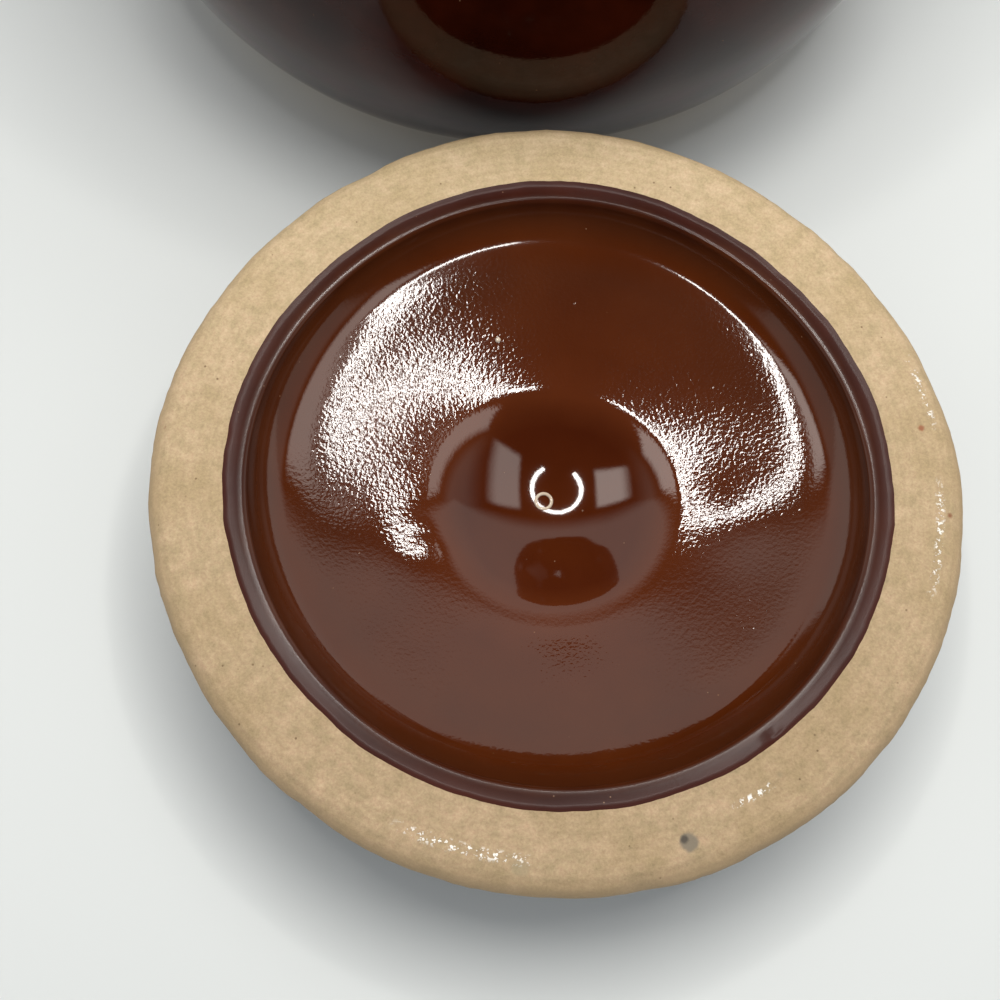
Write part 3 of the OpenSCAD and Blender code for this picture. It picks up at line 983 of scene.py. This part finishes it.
# %% [markdown]
# ## The table, the lamps and the camera
#
# The pot stands on a plain white table. One horseshoe-shaped lamp hangs over the lid, with
# its open side to the viewer. Its reflection draws the bright arcs in the recess, so it is
# built from short lamps in a row. Everything else that the glaze mirrors is a room that is
# dark overhead and behind the viewer, with a few pale parts.

# %% Table
TABLE_SIDE = 40
deselect()
bpy.ops.mesh.primitive_plane_add(size=TABLE_SIDE, location=(0, 0, 0))
table = bpy.context.object
table.name = table.data.name = "table_top"
table_paint, tree, shader, where = new_material("white_table")
faint = ramp(tree, noise_at(tree, where, 160, 2), (0.3, "#D3D6D4"), (0.7, "#D7DAD8"))
set_sockets(tree, shader, Base_Color=faint, Roughness=0.5, IOR=1.45)
table.data.materials.append(table_paint)
print("table:", TABLE_SIDE, "m wide, so that no view shows its edge")

# %% Horseshoe lamp
LAMP_MIDDLE = Vector((0.0104, -0.1093, 0.46))
LAMP_R, LAMP_W, LAMP_GAP, GAP_TOWARD = 0.110, 0.018, 79.0, -100.6
LAMP_COUNT, LAMP_WATTS, LAMP_OVERLAP = 14, 1.3, 1.04


def area_lamp(name, watts, tint):
    data = bpy.data.lights.new(name, "AREA")
    data.energy, data.color = watts, tint
    lamp = bpy.data.objects.new(name, data)
    bpy.context.scene.collection.objects.link(lamp)
    return lamp


piece_turn = (360 - LAMP_GAP) / LAMP_COUNT
for i in range(LAMP_COUNT):
    turn = math.radians(GAP_TOWARD + LAMP_GAP / 2 + piece_turn * (i + 0.5))
    lamp = area_lamp("horseshoe_%02d" % i, LAMP_WATTS / LAMP_COUNT, (1.0, 0.97, 0.93))
    lamp.data.shape = "RECTANGLE"
    lamp.data.size = LAMP_R * math.radians(piece_turn) * LAMP_OVERLAP
    lamp.data.size_y = LAMP_W
    lamp.location = LAMP_MIDDLE + Vector((math.cos(turn), math.sin(turn), 0)) * LAMP_R
    lamp.rotation_euler = (0, 0, turn + math.pi / 2)
print("horseshoe:", LAMP_COUNT, "lamps,", round(360 - LAMP_GAP), "degrees round")

# %% [markdown]
# A broad soft lamp over it lights the table and the clay. The glaze doesn't mirror it, so
# that it adds no bright patch to the recess.

# %% Soft lamp
SOFT_SIDE, SOFT_WATTS, SOFT_PLACE, SOFT_LEAN = 0.30, 1.25, (0.06, 0.01, 0.62), (-9, 5)
soft = area_lamp("soft_ceiling", SOFT_WATTS, (1.0, 0.985, 0.96))
soft.data.size = SOFT_SIDE
soft.location = SOFT_PLACE
soft.rotation_euler = (math.radians(SOFT_LEAN[0]), math.radians(SOFT_LEAN[1]), 0)
soft.visible_glossy = False
print("soft lamp:", SOFT_WATTS, "W at", SOFT_PLACE)

# %% [markdown]
# The room is painted on the world as if on a flat ceiling one metre up: `gx` and `gy` say
# where a mirrored ray would meet that ceiling. It is bright beyond the pot, pale at both
# sides, and has one bright panel on the right and one on the left, which draw the two
# patches in the recess. Rays that aren't mirrored get a plain, weaker light, and the camera
# sees white.

# %% Pale room
CEILING, WALLS, RIGHT_PANEL, LEFT_PANEL, PLAIN_LIGHT, SKY = 1.12, 0.6, 3.0, 4.3, 0.58, 1.0
LOWEST = 0.03
room = bpy.data.worlds.new("pale_room")
room.use_nodes = True
bpy.context.scene.world = room
tree = room.node_tree
toward = add(tree, "SeparateXYZ", {0: add(tree, "TexCoord").outputs["Generated"]})
above = highest(tree, toward.outputs["Z"], LOWEST)
gx = maths(tree, "DIVIDE", toward.outputs["X"], above)
gy = maths(tree, "DIVIDE", toward.outputs["Y"], above)
aside = maths(tree, "ABSOLUTE", gx)
flank = total(tree, gy, product(tree, aside, 0.5))


def panel(strength, *edges):
    """Brightness inside soft edges; an edge is a value, where it is 0 and where it is 1."""
    inside = []
    for value, start, end in edges:
        node = add(tree, "MapRange", {"Value": value, "From Min": start, "From Max": end},
                   interpolation_type="SMOOTHSTEP")
        inside.append(node.outputs["Result"])
    return product(tree, *inside, strength)


def background(tint, strength):
    return add(tree, "Background", {"Color": colour(tint), "Strength": strength}).outputs[0]


def by_ray(kind, other, this):
    """One shader for a kind of ray and another for all other rays."""
    ray = add(tree, "LightPath").outputs[kind]
    return add(tree, "MixShader", {0: ray, 1: other, 2: this}).outputs[0]


ceiling = panel(CEILING, (gy, 0.39, 0.64))
walls = panel(WALLS, (aside, 0.9, 1.6), (flank, -0.25, 0.1))
right = panel(RIGHT_PANEL, (gx, 0.40, 0.47), (gx, 1.00, 0.72), (flank, -0.12, -0.04),
              (gy, 0.36, 0.27))
left = panel(LEFT_PANEL, (gx, -0.38, -0.45), (gx, -1.00, -0.74), (gy, -0.14, -0.06),
             (gy, 0.38, 0.30))
mirrored = background("#FFF6EE", highest(tree, ceiling, walls, right, left))
lighting = by_ray("Is Glossy Ray", background("#F4F7FB", PLAIN_LIGHT), mirrored)
seen = by_ray("Is Camera Ray", lighting, background("#FFFFFF", SKY))
tree.links.new(seen, tree.nodes["World Output"].inputs["Surface"])
print("room nodes:", len(tree.nodes))

# %% [markdown]
# The camera stands where the photo was taken from, as fitted to the lid's two ring edges.
# It looks down steeply from close by. AIM and DISTANCE are in metres.

# %% Camera
ELEVATION, AZIMUTH, ROLL = math.radians(69.6), math.radians(7.56), math.radians(5.6)
AIM, DISTANCE, FOCAL_PX, FRAME_PX = Vector((-0.0097, -0.1530, 0.036)), 0.2192, 1400, 1000
SENSOR_MM, NEAREST = 36, 0.01
level = math.cos(ELEVATION)
away = Vector((-level * math.sin(AZIMUTH), -level * math.cos(AZIMUTH), math.sin(ELEVATION)))
side = Vector((math.cos(AZIMUTH), -math.sin(AZIMUTH), 0))
top = away.cross(side)
across = side * math.cos(ROLL) + top * math.sin(ROLL)
upward = top * math.cos(ROLL) - side * math.sin(ROLL)
camera_data = bpy.data.cameras.new("over_the_lid")
camera_data.sensor_width = SENSOR_MM
camera_data.lens = SENSOR_MM * FOCAL_PX / FRAME_PX
camera_data.clip_start = NEAREST
camera = bpy.data.objects.new("over_the_lid", camera_data)
bpy.context.scene.collection.objects.link(camera)
place = AIM + away * DISTANCE
rows = [(across[i], upward[i], away[i], place[i]) for i in range(3)]
camera.matrix_world = Matrix(rows + [(0, 0, 0, 1)])
bpy.context.scene.camera = camera
bpy.context.scene.view_settings.view_transform = "Standard"
print("camera:", [round(c, 3) for c in place], "lens", camera_data.lens, "mm")
